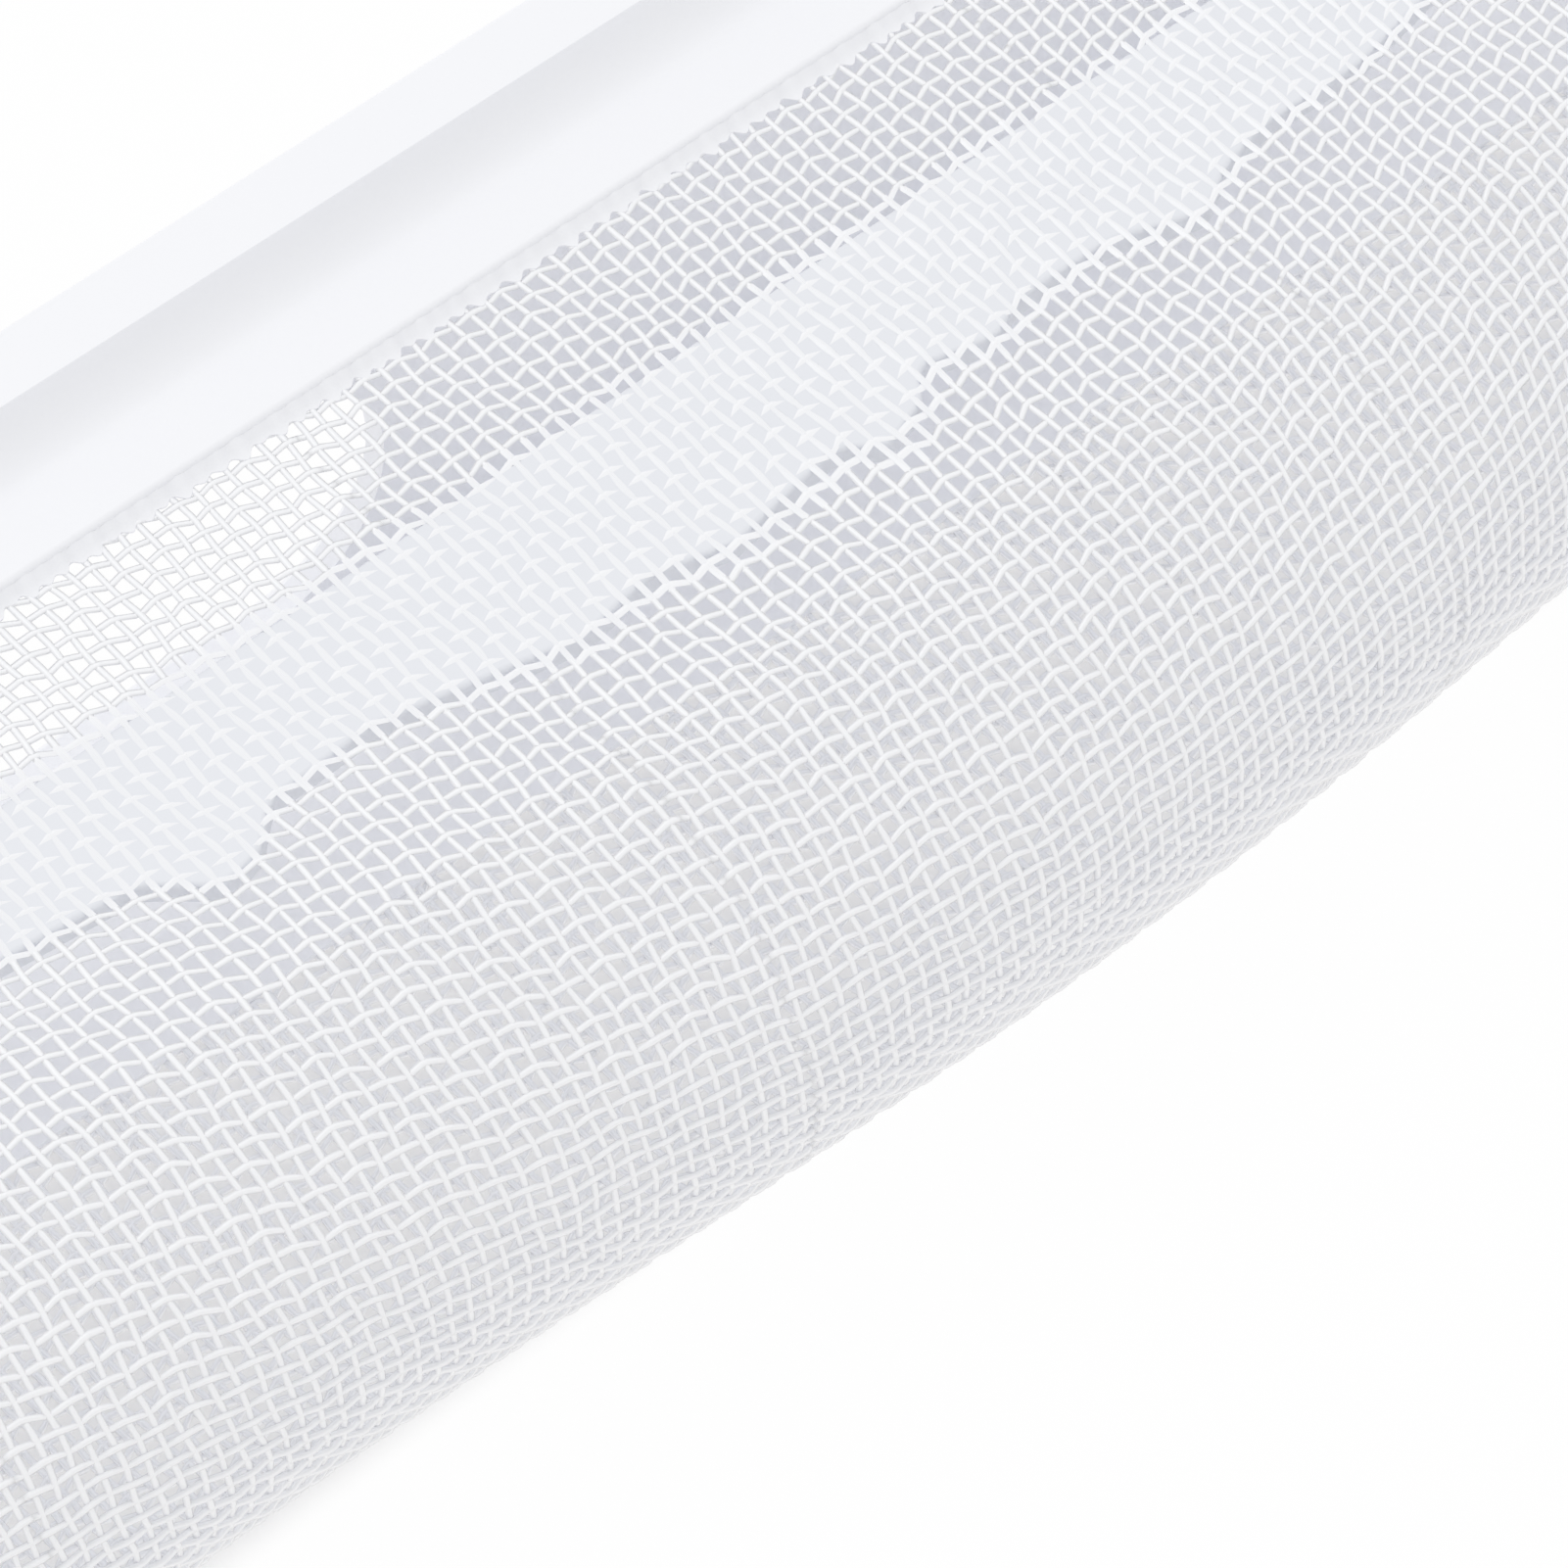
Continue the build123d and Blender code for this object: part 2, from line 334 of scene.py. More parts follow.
@dataclass(frozen=True)
class PocketForm:
    """The middle surface of the mesh: front run, round nose and back run, in millimetres."""

    start_y: float = 13.0
    end_y: float = 6.8
    nose_axis_y: float = -10.0
    nose_axis_z: float = 14.0
    radius: float = 13.7
    half_length: float = 118.0
    bulge: float = 1.2
    bulge_length: float = 110.0
    bulge_crest_x: float = -19.0
    bulge_from_y: float = 0.0
    end_hold: int = 8

    @property
    def front_run(self) -> float:
        """Returns the length of the flat front."""
        return self.start_y - self.nose_axis_y

    @property
    def nose_run(self) -> float:
        """Returns the length of the half round."""
        return math.pi * self.radius

    @property
    def girth(self) -> float:
        """Returns the cloth's whole length round the pocket."""
        return self.front_run + self.nose_run + self.end_y - self.nose_axis_y

    def wrap(self, flat: np.ndarray) -> np.ndarray:
        """Bends flat cloth round the pocket.

        Args:
            flat: Rows of (along the rail, round the pocket, height over the middle), in millimetres.

        Returns:
            Rows of places in the filter's frame, in millimetres.
        """
        along, girth, height = flat.T
        bent = np.clip(girth - self.front_run, 0.0, self.nose_run)
        turn = math.pi / 2 + bent / self.radius
        before = np.minimum(girth - self.front_run, 0.0)
        after = np.maximum(girth - self.front_run - self.nose_run, 0.0)
        reach = self.radius + height
        across = self.nose_axis_y + reach * np.cos(turn) - before + after
        up = self.nose_axis_z + reach * np.sin(turn)
        share = np.clip((self.bulge_from_y - across) / (self.bulge_from_y - self.nose_axis_y), 0.0, 1.0)
        ease = share * share * (3 - 2 * share)
        swell = np.cos(2 * math.pi * (along - self.bulge_crest_x) / self.bulge_length)
        held = 1 - (along / self.half_length) ** self.end_hold
        return np.stack([along, across - self.bulge * swell * held * ease, up], axis=1)


@dataclass(frozen=True)
class Wave:
    """One wave over the flat cloth, in millimetres, with its phase in radians."""

    height: float
    length: float
    girth_length: float
    phase: float


@dataclass(frozen=True)
class ClothWander:
    """How the threads run off line: one long bow and small waves, in millimetres."""

    bow: float = 5.1
    bow_length: float = 170.0
    bow_crest_x: float = -27.0
    round_waves: tuple[Wave, ...] = (
        Wave(0.10, 13.0, 31.0, 0.4),
        Wave(0.08, 7.3, -19.0, 1.9),
        Wave(0.06, 4.1, 11.0, 3.1),
        Wave(0.04, 2.9, -6.7, 5.0),
    )
    along_waves: tuple[Wave, ...] = (
        Wave(0.12, 27.0, 17.0, 0.9),
        Wave(0.07, -9.0, 8.3, 2.2),
        Wave(0.05, 5.1, 4.3, 4.0),
    )

    @staticmethod
    def ripple(along: np.ndarray, girth: np.ndarray, waves: tuple[Wave, ...]) -> np.ndarray:
        """Adds up waves over the cloth.

        Args:
            along: The places along the rail.
            girth: The same places round the pocket.
            waves: The waves to add up.

        Returns:
            How far the cloth is moved at each place.
        """
        total = np.zeros_like(along)
        for wave in waves:
            turns = along / wave.length + girth / wave.girth_length
            total += wave.height * np.sin(2 * math.pi * turns + wave.phase)
        return total

    def lay(self, flat: np.ndarray) -> np.ndarray:
        """Moves flat cloth's threads off line.

        Args:
            flat: Rows of (along the rail, round the pocket, height over the middle), in millimetres.

        Returns:
            The same rows, moved.
        """
        along, girth, height = flat.T
        bow = self.bow * np.cos(2 * math.pi * (along - self.bow_crest_x) / self.bow_length)
        moved_girth = girth + bow + self.ripple(along, girth, self.round_waves)
        moved_along = along + self.ripple(along, girth, self.along_waves)
        return np.stack([moved_along, moved_girth, height], axis=1)


@dataclass
class StiffeningStrip:
    """The strip under the mesh, with the threads pressed into its face, in millimetres.

    The tooth profile's points are shares of the repeat along the rail and of the tooth height across it.
    """

    finish: PlasticFinish
    name: str = "toothed_strip"
    half_length: float = 115.0
    rear_y: float = 4.2
    front_y: float = -3.9
    under_z: float = 26.545
    face_z: float = 27.745
    edge_slope: float = 0.9
    edge_round: float = 0.3
    tooth_round: float = 0.5
    round_steps: int = 4
    tooth_start_x: float = -59.2
    tooth_repeat: float = 84.0
    tooth_height: float = 3.0
    tooth_profile: tuple[tuple[float, float], ...] = (
        (0.000, 0.00),
        (0.033, 0.80),
        (0.060, 0.67),
        (0.083, 0.07),
        (0.152, 0.00),
        (0.270, 0.77),
        (0.319, 0.53),
        (0.368, 0.90),
        (0.448, 0.53),
        (0.471, 1.00),
        (0.504, 0.70),
        (0.519, 0.17),
        (0.565, 0.50),
        (0.588, 0.17),
        (0.655, 0.23),
        (0.708, 0.77),
        (0.739, 0.30),
        (0.774, 0.07),
        (0.845, 0.13),
        (0.917, -0.25),
    )

    def front_edge(self) -> list[tuple[float, float]]:
        """Works out the toothed edge.

        Returns:
            Its points (along the rail, across it) from left to right.
        """
        points = []
        first = math.floor((-self.half_length - self.tooth_start_x) / self.tooth_repeat)
        last = math.ceil((self.half_length - self.tooth_start_x) / self.tooth_repeat)
        for turn in range(first, last + 1):
            for along, deep in self.tooth_profile:
                x = self.tooth_start_x + self.tooth_repeat * (turn + along)
                points.append((x, self.front_y - self.tooth_height * deep))
        inside = self.half_length - self.tooth_height
        return [point for point in points if abs(point[0]) < inside]

    def holds(self, along: np.ndarray, across: np.ndarray) -> np.ndarray:
        """Returns how far the strip holds the cloth at each place.

        Args:
            along: The places along the rail.
            across: The same places across it.

        Returns:
            One over the strip and zero off it, with a fade over its sloped edges.
        """
        edge_x, edge_y = zip(*self.front_edge())
        inside = np.minimum(self.rear_y - across, across - np.interp(along, edge_x, edge_y))
        inside = np.minimum(inside, self.half_length - np.abs(along))
        return np.clip(inside / self.edge_slope + 0.5, 0.0, 1.0)

    def build(self) -> None:
        """Makes the strip, which stands for its CAD node."""
        bm = bmesh.new()
        outline = [
            (-self.half_length, self.rear_y),
            (-self.half_length, self.front_y),
            *self.front_edge(),
            (self.half_length, self.front_y),
            (self.half_length, self.rear_y),
        ]
        verts = [bm.verts.new((x, y, self.under_z)) for x, y in outline]
        bm.faces.new(verts)
        bmesh.ops.bevel(
            bm,
            geom=verts[2:-2],
            offset=self.tooth_round,
            offset_type="OFFSET",
            affect="VERTICES",
            segments=self.round_steps,
            profile=0.5,
            material=-1,
        )
        base = next(iter(bm.faces))
        grown = bmesh.ops.extrude_face_region(bm, geom=[base])["geom"]
        top = [item for item in grown if isinstance(item, bmesh.types.BMVert)]
        bmesh.ops.translate(bm, verts=top, vec=(0, 0, self.face_z - self.under_z))
        for vert in bm.verts:
            inward = -math.copysign(self.edge_slope / 2, vert.co.y)
            vert.co.y += inward if vert.co.z > self.under_z else -inward
        bmesh.ops.recalc_face_normals(bm, faces=bm.faces)
        rims = [edge for edge in bm.edges if all(vert in top for vert in edge.verts)]
        rounded = bmesh.ops.bevel(
            bm,
            geom=rims,
            offset=self.edge_round,
            offset_type="OFFSET",
            affect="EDGES",
            segments=self.round_steps,
            profile=0.5,
            clamp_overlap=True,
            material=-1,
        )
        for face in rounded["faces"]:
            face.smooth = True
        bmesh.ops.scale(bm, vec=(MM, MM, MM), verts=bm.verts)
        mesh = bpy.data.meshes.new(self.name)
        bm.to_mesh(mesh)
        bm.free()
        piece = Pieces.add(self.name, mesh, self.finish.material(), Slot.STRIP)
        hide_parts("stiffening_strip")


@dataclass(frozen=True)
class ThreadRun:
    """How the threads of one direction run, in millimetres.

    A thread rises and falls by its crimp at the crossings, and moves sideways by its sway with it.
    Round the nose it lies further out by its lift, or further in where that is negative, and its crest
    adds to its crimp. Where the strip holds it, it is sunk and takes up a share of the strip's colour.
    """

    crimp: float
    sway: float
    lift: float
    crest: float
    sunk: float
    film: float


@dataclass
class WovenScreen:
    """The woven mesh, made thread by thread in panels along the rail, in millimetres.

    Threads are flattened, and grow rounder from one place to another past the start of the nose's bend.
    """

    HELD_FROM: ClassVar[float] = 0.5
    LIFT: ClassVar[str] = "lift"
    SUNK: ClassVar[str] = "sunk"
    HELD: ClassVar[str] = "held"
    form: PocketForm
    wander: ClothWander
    strip: StiffeningStrip
    finish: ThreadFinish
    columns: int = 240
    panels: int = 6
    row_pitch: float = 1.0
    thread_width: float = 0.36
    thread_flatness: float = 0.6
    lengthwise: ThreadRun = ThreadRun(
        crimp=0.035, sway=0.06, lift=-0.03, crest=0.04, sunk=0.03, film=0.0
    )
    crosswise: ThreadRun = ThreadRun(
        crimp=0.01, sway=0.0, lift=-0.14, crest=0.0, sunk=0.0, film=0.45
    )
    crown: float = 0.2
    sides: int = 5
    nose_from: float = 10.0
    nose_to: float = 21.0
    nose_roundness: float = 0.6

    @property
    def column_pitch(self) -> float:
        """Returns the step from one cross thread to the next."""
        return 2 * self.form.half_length / self.columns

    def crossing_steps(
        self, crossings: int, pitch: float, first: Lay, run: ThreadRun
    ) -> list[tuple[Vector, int]]:
        """Works out where a thread along X goes at its crossings.

        Args:
            crossings: How many threads it crosses.
            pitch: The step between them.
            first: Whether it passes over or under the first one.
            run: How it rises, falls and sways at the crossings.

        Returns:
            Its places in order, each with one where it passes over, minus one under and zero at its end.
        """
        steps = []
        lay = first
        for crossing in range(crossings):
            for side in (-1, 1):
                x = (crossing + 0.5 + side * self.crown) * pitch
                steps.append((Vector((x, -lay.value * run.sway, lay.value * run.crimp)), lay.value))
            lay = lay.other()
        steps.append((Vector((crossings * pitch, 0.0, 0.0)), 0))
        return steps

    def thread(
        self, bm: bmesh.types.BMesh, steps: list[tuple[Vector, int]], run: ThreadRun, offset: float
    ) -> None:
        """Adds one crimped thread along X from the origin.

        Args:
            bm: The mesh that gets the thread.
            steps: Its places at the crossings.
            run: How it lies round the nose.
            offset: Its place across.
        """
        corner_up = Matrix.Rotation(math.radians(90), 4, "Y") @ Matrix.Rotation(math.radians(90), 4, "Z")
        flatten = Matrix.Diagonal((1, 1, self.thread_flatness, 1))
        stand = Matrix.Translation((0, offset, 0)) @ flatten @ corner_up
        ring = bmesh.ops.create_circle(
            bm, cap_ends=True, segments=self.sides, radius=self.thread_width / 2, matrix=stand
        )
        edges = list({edge for vert in ring["verts"] for edge in vert.link_edges})
        lift = bm.verts.layers.float[self.LIFT]
        for vert in ring["verts"]:
            vert[lift] = run.lift
        last = Vector((0.0, 0.0, 0.0))
        for step, rise in steps:
            grown = bmesh.ops.extrude_edge_only(bm, edges=edges)["geom"]
            verts = [item for item in grown if isinstance(item, bmesh.types.BMVert)]
            edges = [item for item in grown if isinstance(item, bmesh.types.BMEdge)]
            bmesh.ops.translate(bm, verts=verts, vec=step - last)
            for vert in verts:
                vert[lift] = run.lift + rise * run.crest
            last = step
        bmesh.ops.contextual_create(bm, geom=edges)

    def thread_pair(
        self, crossings: int, pitch: float, spacing: float, first: Lay, run: ThreadRun
    ) -> bpy.types.Mesh:
        """Makes two neighbouring threads along X, with opposite lays.

        Args:
            crossings: How many threads they cross.
            pitch: The step between those.
            spacing: The step from one thread of the pair to the other.
            first: Whether the first of the pair passes over or under the first thread that it crosses.
            run: How they run.

        Returns:
            Both threads as one mesh.
        """
        bm = bmesh.new()
        for name in (self.LIFT, self.SUNK, self.HELD, self.finish.FILM):
            bm.verts.layers.float.new(name)
        sunk = bm.verts.layers.float[self.SUNK]
        film = bm.verts.layers.float[self.finish.FILM]
        for number, lay in enumerate((first, first.other())):
            steps = self.crossing_steps(crossings, pitch, lay, run)
            self.thread(bm, steps, run, (number + 0.5) * spacing)
        for vert in bm.verts:
            vert[sunk] = run.sunk
            vert[film] = run.film
        bmesh.ops.recalc_face_normals(bm, faces=bm.faces)
        mesh = bpy.data.meshes.new("thread_pair")
        bm.to_mesh(mesh)
        bm.free()
        return mesh

    @staticmethod
    def repeated(mesh: bpy.types.Mesh, count: int, step: tuple[float, float, float]) -> bpy.types.Mesh:
        """Repeats a mesh at a constant step.

        Args:
            mesh: The mesh to repeat, which is used up.
            count: How often it comes.
            step: The step from one to the next.

        Returns:
            The repeats as one mesh.
        """
        carrier = bpy.data.objects.new("thread_carrier", mesh)
        bpy.context.scene.collection.objects.link(carrier)
        array = carrier.modifiers.new("repeat", "ARRAY")
        array.use_relative_offset = False
        array.use_constant_offset = True
        array.constant_offset_displace = step
        array.count = count
        depsgraph = bpy.context.evaluated_depsgraph_get()
        whole = bpy.data.meshes.new_from_object(carrier.evaluated_get(depsgraph))
        bpy.data.objects.remove(carrier)
        bpy.data.meshes.remove(mesh)
        return whole

    def flat_panel(self, index: int) -> bpy.types.Mesh:
        """Makes one panel of flat cloth, long enough to be trimmed to the pocket's girth.

        Args:
            index: The panel's number along the rail.

        Returns:
            The threads both ways, each a closed tube.
        """
        columns = self.columns // self.panels
        spare = 2 * math.ceil((self.wander.bow + self.row_pitch) / (2 * self.row_pitch))
        rows = 2 * math.ceil(self.form.girth / (2 * self.row_pitch)) + 2 * spare
        lengthwise = self.thread_pair(columns, self.column_pitch, self.row_pitch, Lay.OVER, self.lengthwise)
        lengthwise = self.repeated(lengthwise, rows // 2, (0, 2 * self.row_pitch, 0))
        crosswise = self.thread_pair(rows, self.row_pitch, self.column_pitch, Lay.UNDER, self.crosswise)
        crosswise = self.repeated(crosswise, columns // 2, (0, 2 * self.column_pitch, 0))
        crosswise.transform(Matrix(((0, 1, 0, 0), (1, 0, 0, 0), (0, 0, 1, 0), (0, 0, 0, 1))))
        crosswise.flip_normals()
        bm = bmesh.new()
        bm.from_mesh(lengthwise)
        bm.from_mesh(crosswise)
        left = -self.form.half_length + index * columns * self.column_pitch
        bmesh.ops.translate(bm, verts=bm.verts, vec=(left, -spare * self.row_pitch, 0))
        whole = bpy.data.meshes.new("flat_panel")
        bm.to_mesh(whole)
        bm.free()
        for part in (lengthwise, crosswise):
            bpy.data.meshes.remove(part)
        return whole

    def trim(self, mesh: bpy.types.Mesh) -> None:
        """Cuts a settled panel off at the rail and at the back panel, and closes the cut threads.

        Threads stay smooth, but are shaded flat where the strip holds them.

        Args:
            mesh: The panel.
        """
        bm = bmesh.new()
        bm.from_mesh(mesh)
        for level, outward in ((0.0, -1), (self.form.girth, 1)):
            bmesh.ops.bisect_plane(
                bm,
                geom=[*bm.verts, *bm.edges, *bm.faces],
                plane_co=(0, level, 0),
                plane_no=(0, outward, 0),
                clear_outer=True,
            )
        rims = [edge for edge in bm.edges if edge.is_boundary]
        bmesh.ops.holes_fill(bm, edges=rims, sides=0)
        held = bm.verts.layers.float[self.HELD]
        for face in bm.faces:
            loose = all(vert[held] < self.HELD_FROM for vert in face.verts)
            face.smooth = loose and len(face.verts) == 4
        bm.verts.layers.float.remove(held)
        bm.to_mesh(mesh)
        bm.free()

    def settle(self, mesh: bpy.types.Mesh) -> None:
        """Lays a flat panel off line, rounds its threads at the nose and draws them into the strip.

        Args:
            mesh: The panel.
        """
        laid = self.wander.lay(Pieces.coordinates(mesh))
        held = self.strip.holds(laid[:, 0], self.form.start_y - laid[:, 1])
        past = laid[:, 1] - self.form.front_run
        turned = np.clip((past - self.nose_from) / (self.nose_to - self.nose_from), 0.0, 1.0)
        laid[:, 2] *= 1 + self.nose_roundness * turned
        laid[:, 2] += turned * Pieces.values(mesh, self.LIFT) - held * Pieces.values(mesh, self.SUNK)
        Pieces.store(mesh, self.HELD, held)
        Pieces.store(mesh, self.finish.FILM, held * Pieces.values(mesh, self.finish.FILM))
        for name in (self.LIFT, self.SUNK):
            mesh.attributes.remove(mesh.attributes[name])
        Pieces.place(mesh, laid)

    def build(self) -> None:
        """Makes every panel, from the left end to the right."""
        for index in range(self.panels):
            mesh = self.flat_panel(index)
            self.settle(mesh)
            self.trim(mesh)
            Pieces.place(mesh, self.form.wrap(Pieces.coordinates(mesh)) * MM)
            piece = Pieces.add(f"mesh_panel_{index + 1}", mesh, self.finish.material(), Slot.MESH)
            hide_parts("mesh_screen")


@dataclass
class WeldSeam:
    """The plastic that welds the mesh to the rail, with its ragged edge, in millimetres."""

    finish: PlasticFinish
    half_length: float = 118.0
    rear_y: float = 12.8
    edge_y: float = 11.75
    under_z: float = 27.74
    edge_z: float = 27.82
    rear_z: float = 28.59
    step: float = 0.14
    rows: int = 6
    bite: float = 0.15
    bite_pitch: float = 0.983
    bite_drift: float = 2.0
    bite_drift_rate: float = 0.37
    rag: float = 0.09
    rag_waves: tuple[tuple[float, float], ...] = ((2.3, 0.6), (3.7, 1.3))
    sharp_degrees: float = 50.0

    def ragged(self, x: float) -> float:
        """Works out the edge's raggedness, bitten at each mesh cell.

        Args:
            x: A place along the rail.

        Returns:
            How far the edge draws back there.
        """
        drift = self.bite_drift * math.sin(self.bite_drift_rate * x)
        bites = self.bite * math.cos(2 * math.pi * x / self.bite_pitch + drift)
        return bites + self.rag * sum(math.sin(rate * x + phase) for rate, phase in self.rag_waves)

    def build(self) -> None:
        """Makes the seam as a film that thins towards an uneven front edge."""
        bm = bmesh.new()
        count = round(2 * self.half_length / self.step)
        width = self.rear_y - self.edge_y
        bmesh.ops.create_grid(bm, x_segments=count, y_segments=self.rows, size=0.5)
        bmesh.ops.scale(bm, vec=(2 * self.half_length, width, 1), verts=bm.verts)
        bmesh.ops.translate(bm, vec=(0, (self.rear_y + self.edge_y) / 2, self.under_z), verts=bm.verts)
        grown = bmesh.ops.extrude_face_region(bm, geom=list(bm.faces))["geom"]
        top = [item for item in grown if isinstance(item, bmesh.types.BMVert)]
        for vert in top:
            rise = (vert.co.y - self.edge_y) / width
            vert.co.z = self.edge_z + (self.rear_z - self.edge_z) * rise * rise * (3 - 2 * rise)
        for vert in bm.verts:
            forward = (self.rear_y - vert.co.y) / width
            vert.co.y += self.ragged(vert.co.x) * forward * forward
        bmesh.ops.recalc_face_normals(bm, faces=bm.faces)
        for face in bm.faces:
            face.smooth = True
        bmesh.ops.scale(bm, vec=(MM, MM, MM), verts=bm.verts)
        mesh = bpy.data.meshes.new("weld_seam")
        bm.to_mesh(mesh)
        mesh.set_sharp_from_angle(angle=math.radians(self.sharp_degrees))
        bm.free()
        Pieces.add("weld_seam", mesh, self.finish.material(), Slot.BODY)


@dataclass
class FilterBody:
    """The moulded body, whose solid is shown as it is."""

    finish: PlasticFinish
    node: str = "filter_body"

    def dress(self, nodes: dict[str, bpy.types.Object]) -> None:
        """Gives the body its finish.

        Args:
            nodes: The frame's nodes by name.
        """
        node = nodes[self.node]
        for slot in node.material_slots:
            slot.material = self.finish.material()
        LOG.info("%s: %d faces", node.name, len(node.data.polygons))


@dataclass
class Studio:
    """A white light table, even soft light and the camera.

    The camera's target and distance are in millimetres, and the other lengths in metres.
    """

    floor_size: float = 6.0
    floor_colour: tuple[float, float, float] = (0.91, 0.91, 0.91)
    floor_glow: float = 0.97
    table_glow: float = 1.0
    table_colour: tuple[float, float, float] = (1.0, 0.985, 0.965)
    shade_box: tuple[float, float, float, float] = (-0.119, 0.119, -0.0178, 0.0195)
    shade_edge: float = 0.003
    diffuse_bounces: int = 12
    dome_strength: float = 0.845
    key_power: float = 3.85
    key_size: float = 0.9
    key_place: tuple[float, float, float] = (0.0, 0.7, 1.55)
    azimuth: float = -40.801
    elevation: float = 55.0
    target: tuple[float, float, float] = (-35.3, -17.4, 28.0)
    distance: float = 259.07
    focal_pixels: float = 6217.7
    nearest: float = 0.01

    def seen_rays(self, tree: bpy.types.NodeTree) -> bpy.types.NodeSocket:
        """Tells rays that show the background from those that light the part.

        Args:
            tree: The tree that gets the nodes.

        Returns:
            A socket that is one for rays that show the background.
        """
        path = NodeTools.add(tree, "ShaderNodeLightPath")
        first = NodeTools.add(tree, "ShaderNodeMath", operation="MAXIMUM")
        second = NodeTools.add(tree, "ShaderNodeMath", operation="MAXIMUM")
        tree.links.new(path.outputs["Is Camera Ray"], first.inputs[0])
        tree.links.new(path.outputs["Is Glossy Ray"], first.inputs[1])
        tree.links.new(first.outputs["Value"], second.inputs[0])
        tree.links.new(path.outputs["Is Transmission Ray"], second.inputs[1])
        return second.outputs["Value"]

    def world(self) -> None:
        """Makes the even dome, which shows as white."""
        world = bpy.data.worlds.new("white_dome")
        bpy.context.scene.world = world
        world.use_nodes = True
        tree = world.node_tree
        tree.nodes.clear()
        lit = NodeTools.add(tree, "ShaderNodeBackground", Color=(1, 1, 1, 1), Strength=self.dome_strength)
        shown = NodeTools.add(tree, "ShaderNodeBackground", Color=(1, 1, 1, 1), Strength=1.0)
        mix = NodeTools.add(tree, "ShaderNodeMixShader")
        end = NodeTools.add(tree, "ShaderNodeOutputWorld")
        tree.links.new(self.seen_rays(tree), mix.inputs["Fac"])
        tree.links.new(lit.outputs["Background"], mix.inputs[1])
        tree.links.new(shown.outputs["Background"], mix.inputs[2])
        tree.links.new(mix.outputs["Shader"], end.inputs["Surface"])

    def under_part(self, tree: bpy.types.NodeTree) -> bpy.types.NodeSocket:
        """Marks the floor under the part.

        Args:
            tree: The tree that gets the nodes.

        Returns:
            A socket that is one under the part and fades out round it.
        """
        place = NodeTools.add(tree, "ShaderNodeTexCoord")
        split = NodeTools.add(tree, "ShaderNodeSeparateXYZ")
        tree.links.new(place.outputs["Object"], split.inputs["Vector"])
        left, right, front, rear = self.shade_box
        mask = None
        for axis, low, high in (("X", left, right), ("Y", front, rear)):
            for edge, inward in ((low, 1), (high, -1)):
                ramp = NodeTools.add(tree, "ShaderNodeMapRange", interpolation_type="SMOOTHSTEP")
                ramp.inputs["From Min"].default_value = edge - inward * self.shade_edge / 2
                ramp.inputs["From Max"].default_value = edge + inward * self.shade_edge / 2
                tree.links.new(split.outputs[axis], ramp.inputs["Value"])
                if mask is None:
                    mask = ramp.outputs["Result"]
                    continue
                both = NodeTools.add(tree, "ShaderNodeMath", operation="MULTIPLY")
                tree.links.new(mask, both.inputs[0])
                tree.links.new(ramp.outputs["Result"], both.inputs[1])
                mask = both.outputs["Value"]
        return mask

    def floor_material(self) -> bpy.types.Material:
        """Makes the floor white in view and a light table for the part, with its shadow left on it.

        Returns:
            The floor's material.
        """
        material = bpy.data.materials.new("studio_floor")
        tree = NodeTools.fresh(material)
        paint = NodeTools.add(tree, "ShaderNodeBsdfDiffuse", Color=(*self.floor_colour, 1.0))
        glow = NodeTools.add(tree, "ShaderNodeEmission", Strength=1.0)
        hue = NodeTools.add(tree, "ShaderNodeMix", data_type="RGBA")
        hue.inputs["A"].default_value = (1.0, 1.0, 1.0, 1.0)
        hue.inputs["B"].default_value = (*self.table_colour, 1.0)
        bare = NodeTools.add(tree, "ShaderNodeMath", operation="SUBTRACT")
        bare.inputs[0].default_value = 1.0
        seen = NodeTools.add(tree, "ShaderNodeMath", operation="MULTIPLY")
        share = NodeTools.add(tree, "ShaderNodeMath", operation="MULTIPLY")
        share.inputs[1].default_value = self.floor_glow
        mix = NodeTools.add(tree, "ShaderNodeMixShader")
        end = NodeTools.add(tree, "ShaderNodeOutputMaterial")
        tree.links.new(self.under_part(tree), bare.inputs[1])
        tree.links.new(bare.outputs["Value"], seen.inputs[0])
        tree.links.new(self.seen_rays(tree), seen.inputs[1])
        tree.links.new(seen.outputs["Value"], share.inputs[0])
        path = NodeTools.add(tree, "ShaderNodeLightPath")
        lit = NodeTools.add(tree, "ShaderNodeMath", operation="MULTIPLY_ADD")
        lit.inputs[1].default_value = self.table_glow
        tree.links.new(path.outputs["Is Diffuse Ray"], hue.inputs["Factor"])
        tree.links.new(hue.outputs["Result"], glow.inputs["Color"])
        tree.links.new(path.outputs["Is Diffuse Ray"], lit.inputs[0])
        tree.links.new(share.outputs["Value"], lit.inputs[2])
        tree.links.new(lit.outputs["Value"], mix.inputs["Fac"])
        tree.links.new(paint.outputs["BSDF"], mix.inputs[1])
        tree.links.new(glow.outputs["Emission"], mix.inputs[2])
        tree.links.new(mix.outputs["Shader"], end.inputs["Surface"])
        material.cycles.emission_sampling = "NONE"
        return material

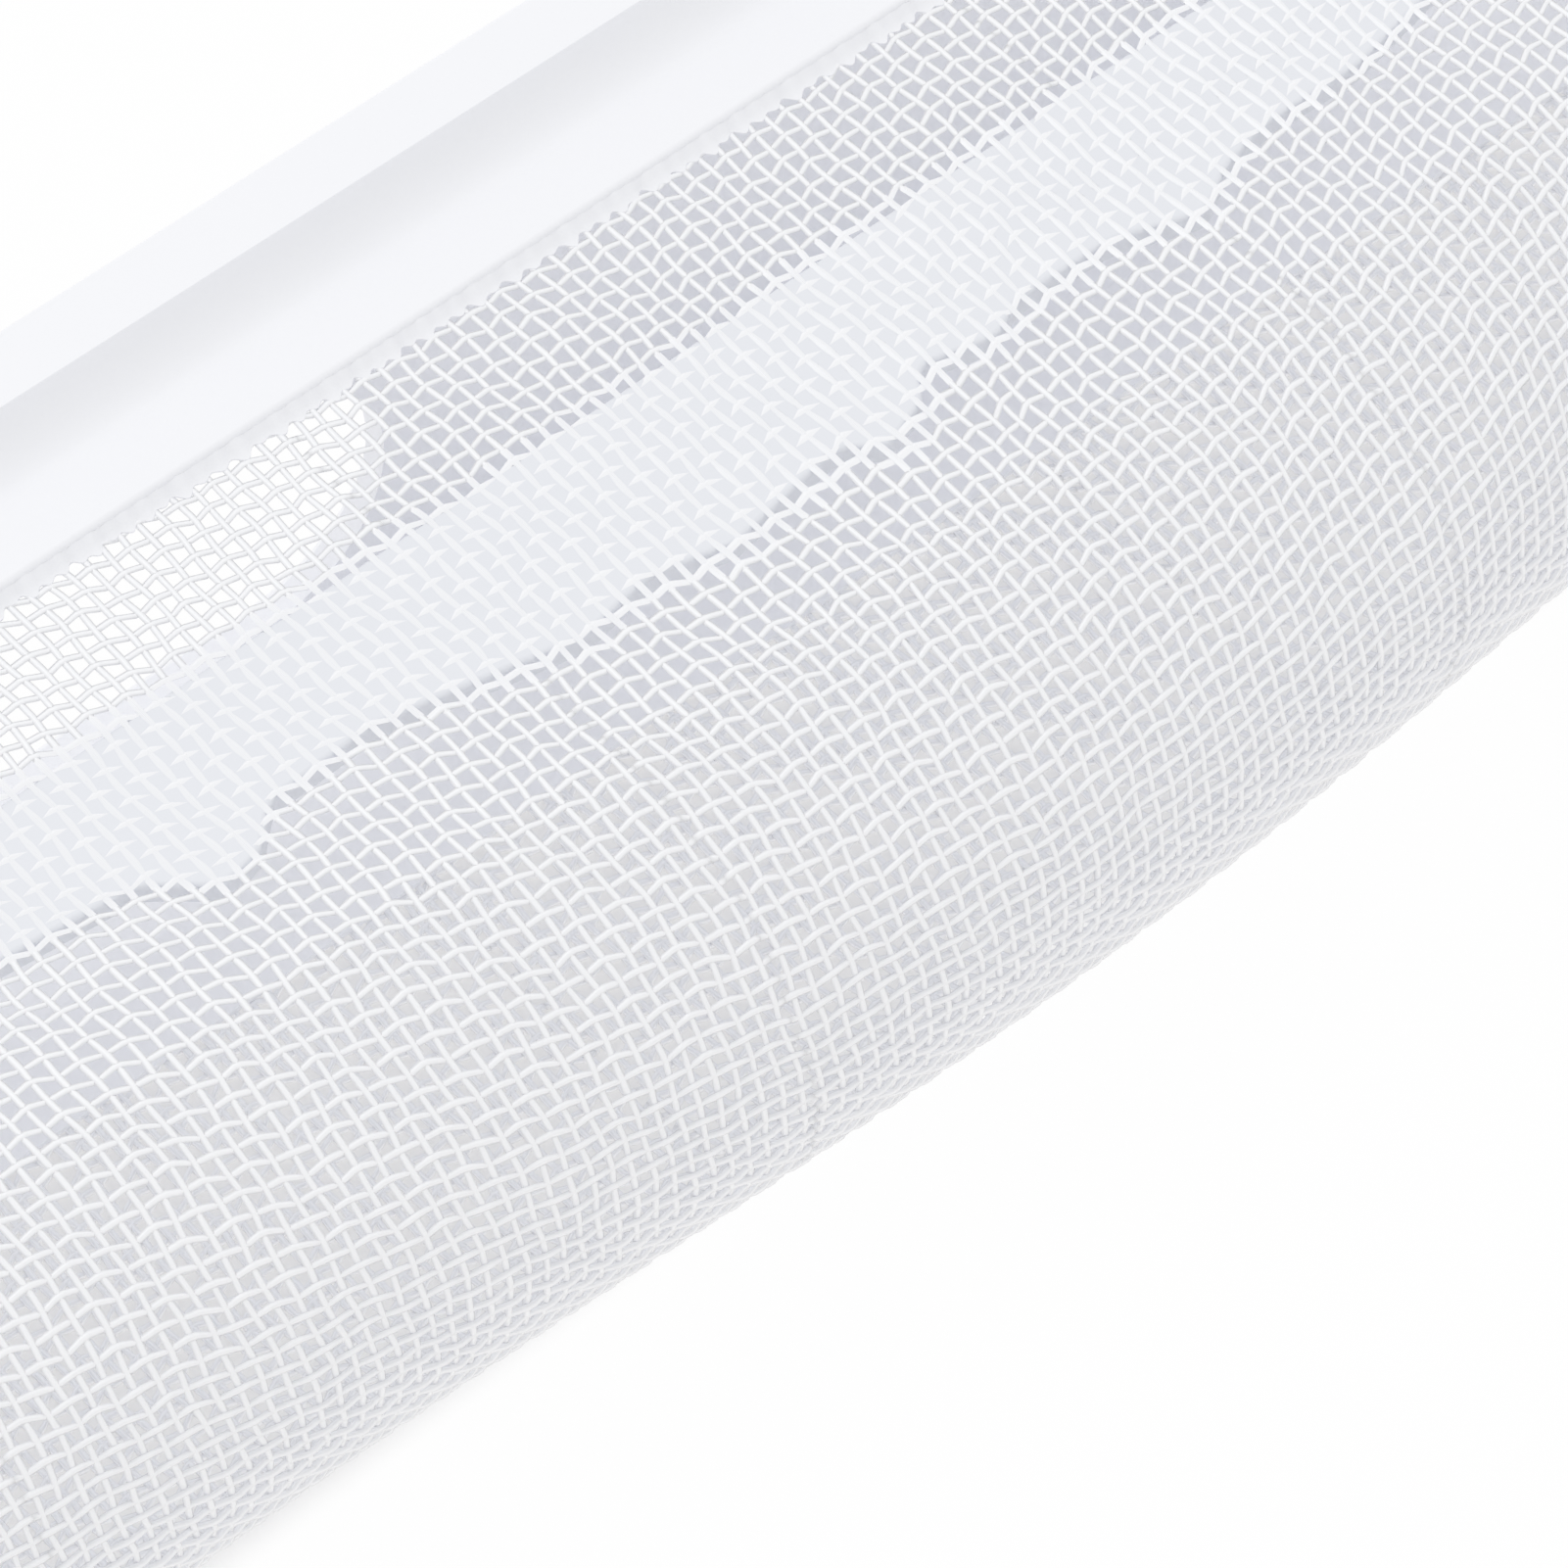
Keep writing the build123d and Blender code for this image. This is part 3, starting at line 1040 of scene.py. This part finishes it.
    def floor(self) -> None:
        """Makes the floor."""
        bm = bmesh.new()
        bmesh.ops.create_grid(bm, x_segments=1, y_segments=1, size=self.floor_size / 2)
        mesh = bpy.data.meshes.new("floor")
        bm.to_mesh(mesh)
        bm.free()
        mesh.materials.append(self.floor_material())
        floor = bpy.data.objects.new("floor", mesh)
        bpy.context.scene.collection.objects.link(floor)

    def key_lamp(self) -> None:
        """Adds a square softbox over the part, facing it."""
        light = bpy.data.lights.new("key", "AREA")
        light.size = self.key_size
        light.energy = self.key_power
        lamp = bpy.data.objects.new("key", light)
        lamp.location = self.key_place
        lamp.rotation_mode = "QUATERNION"
        lamp.rotation_quaternion = (-Vector(self.key_place)).to_track_quat("-Z", "Y")
        bpy.context.scene.collection.objects.link(lamp)

    def camera(self) -> None:
        """Sets the camera at the photograph's viewing angle."""
        turn, rise = math.radians(self.azimuth), math.radians(self.elevation)
        back = Vector((math.sin(turn) * math.cos(rise), -math.cos(turn) * math.cos(rise), math.sin(rise)))
        data = bpy.data.cameras.new("camera")
        data.sensor_width = SENSOR_MM
        data.lens = self.focal_pixels * SENSOR_MM / PHOTO_PIXELS
        data.clip_start = self.nearest
        camera = bpy.data.objects.new("camera", data)
        camera.location = (Vector(self.target) + back * self.distance) * MM
        camera.rotation_mode = "QUATERNION"
        camera.rotation_quaternion = (-back).to_track_quat("-Z", "Y")
        bpy.context.scene.collection.objects.link(camera)
        bpy.context.scene.camera = camera

    def build(self) -> None:
        """Sets up the whole studio."""
        bpy.context.scene.view_settings.view_transform = "Standard"
        bpy.context.scene.cycles.diffuse_bounces = self.diffuse_bounces
        self.world()
        self.floor()
        self.key_lamp()
        self.camera()


def main() -> None:
    """Builds the pieces in order and the studio round them."""
    logging.basicConfig(level=logging.INFO, format="%(name)s %(message)s")
    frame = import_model()
    body_finish = PlasticFinish("satin_body", (0.942, 0.950, 0.981), (0.952, 0.958, 0.986))
    strip_finish = PlasticFinish("satin_strip", (0.812, 0.83, 0.876), (0.837, 0.853, 0.893))
    FilterBody(body_finish).dress(frame["nodes"])
    strip = StiffeningStrip(strip_finish)
    strip.build()
    WeldSeam(body_finish).build()
    WovenScreen(PocketForm(), ClothWander(), strip, ThreadFinish()).build()
    Studio().build()


if __name__ == "__main__":
    main()
